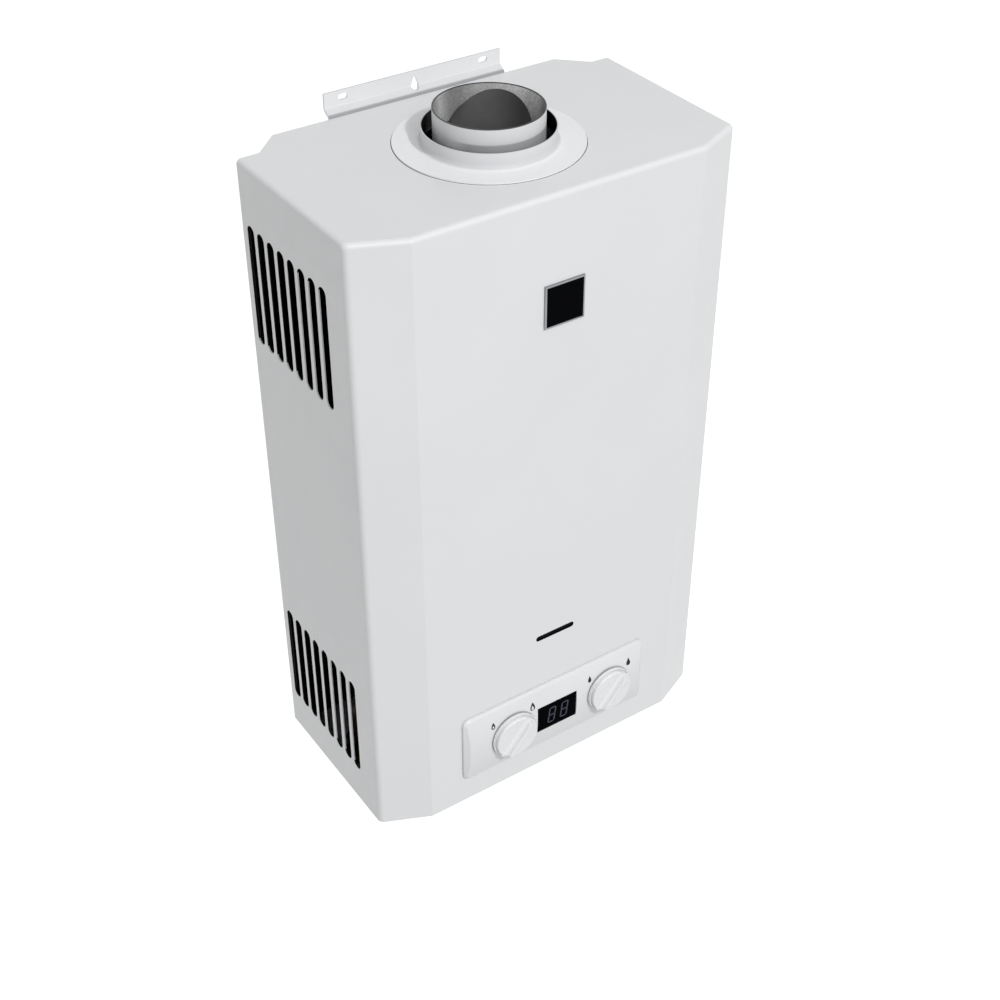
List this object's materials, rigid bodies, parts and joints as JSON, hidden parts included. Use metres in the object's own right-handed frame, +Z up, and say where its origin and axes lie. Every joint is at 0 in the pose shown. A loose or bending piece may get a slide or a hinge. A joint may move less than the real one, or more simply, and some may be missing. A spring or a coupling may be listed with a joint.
{
  "type": "gas water heater",
  "caption": "Wall-hung instantaneous gas water heater: white folded casing with side louvres, top flue with damper, control panel with two knobs, burner, heat exchanger and valves inside.",
  "frame": {"origin": "on the wall, midway between the two slots of the upper bracket", "axes": "+X to the right of someone facing it, +Y into the wall, +Z up"},
  "size_m": [0.33, 0.218, 0.6034],
  "materials": {
    "white_enamel": "satin powder coat",
    "panel_plastic": "smooth moulded plastic",
    "knob_plastic": "smooth moulded plastic",
    "smoked_lens": "polished smoked plastic",
    "dark_badge": "gloss",
    "badge_silver": "satin",
    "galvanised": "spangled zinc",
    "stainless": "brushed",
    "zinc_screw": "bright zinc",
    "damper_steel": "dull rolled sheet",
    "copper": "dull copper, weighed as brass",
    "brass": "turned",
    "cast_alloy": "die cast",
    "black_plastic": "moulded",
    "board_green": "circuit board",
    "rubber_black": "matt",
    "ceramic_white": "glazed ceramic",
    "clear_glass": "clear",
    "cell_wrap": "plain wrapped steel can",
    "lead_silicone": "silicone sleeve"
  },
  "bodies": {
    "appliance": {"front_cover": "white_enamel", "back_plate": "galvanised", "floor_plate": "galvanised", "upper_bracket": "white_enamel", "lower_bracket": "white_enamel", "bracket_rivets": "zinc_screw", "flue_pipe": "galvanised", "flue_collar": "white_enamel", "control_panel": "panel_plastic", "display_lens": "smoked_lens", "display_board": "board_green", "badge_frame": "badge_silver", "badge_plate": "dark_badge", "sight_glass": "clear_glass", "sight_clip": "galvanised", "draught_hood": "galvanised", "fin_block": "copper", "return_bends": "copper", "combustion_chamber": "copper", "burner_frame": "galvanised", "burner_blades": "stainless", "gas_manifold": "cast_alloy", "gas_nozzles": "brass", "inner_brackets": "galvanised", "gas_valve_body": "cast_alloy", "valve_rings": "brass", "diaphragm_cover": "brass", "diaphragm": "rubber_black", "water_valve_body": "brass", "valve_screws": "zinc_screw", "solenoid_housing": "black_plastic", "switch_shelf": "galvanised", "microswitch": "black_plastic", "hot_outlet": "brass", "gas_inlet": "brass", "cold_inlet": "brass", "drain_plug": "brass", "cold_pipe": "copper", "hot_pipe": "copper", "manifold_riser": "copper", "ignition_controller": "black_plastic", "electrode_insulators": "ceramic_white", "electrode_rods": "stainless", "heat_sensors": "black_plastic", "electrode_leads": "lead_silicone", "battery_box": "black_plastic", "battery_hinge_pin": "zinc_screw", "battery_cells": "cell_wrap", "cover_screws": "zinc_screw"},
    "gas_knob": {"gas_knob": "knob_plastic", "gas_spindle": "brass"},
    "water_knob": {"water_knob": "knob_plastic", "water_spindle": "brass"},
    "damper": {"damper_flap": "damper_steel", "damper_axle": "zinc_screw"},
    "battery_cover": {"battery_cover": "black_plastic"},
    "push_rod": {"push_rod": "stainless", "gas_disc": "rubber_black"},
    "switch_lever": {"switch_lever": "stainless"},
    "safety_plunger": {"solenoid_plunger": "stainless"}
  },
  "joints": [
    {"name": "gas_knob_turn", "type": "hinge", "parent": "appliance", "child": "gas_knob", "pos_m": [-0.0452, -0.2055, -0.502], "axis": [0, 1, 0], "range_deg": [0, 270]},
    {"name": "water_knob_turn", "type": "hinge", "parent": "appliance", "child": "water_knob", "pos_m": [0.0542, -0.2055, -0.502], "axis": [0, 1, 0], "range_deg": [0, 270]},
    {"name": "damper_turn", "type": "hinge", "parent": "appliance", "child": "damper", "pos_m": [0, -0.1035, -0.011], "axis": [-0.2756, 0.9613, 0], "range_deg": [-35, 50]},
    {"name": "battery_cover_hinge", "type": "hinge", "parent": "appliance", "child": "battery_cover", "pos_m": [0.126, -0.10425, -0.56525], "axis": [1, 0, 0], "range_deg": [0, 100]},
    {"name": "push_rod_slide", "type": "slide", "parent": "appliance", "child": "push_rod", "axis": [-1, 0, 0], "range_m": [0, 0.004], "stiffness_N_per_m": 1000, "springref_m": -0.004},
    {"name": "switch_lever_swing", "type": "hinge", "parent": "appliance", "child": "switch_lever", "pos_m": [-0.0089, -0.104, -0.4811], "axis": [0, 1, 0], "range_deg": [0, 14.5]},
    {"name": "safety_plunger_slide", "type": "slide", "parent": "appliance", "child": "safety_plunger", "axis": [-1, 0, 0], "range_m": [0, 0.003], "stiffness_N_per_m": 1000, "springref_m": -0.003}
  ],
  "couplings": [
    {"joint": "switch_lever_swing", "follows": "push_rod_slide", "rad_per_m": 61}
  ]
}
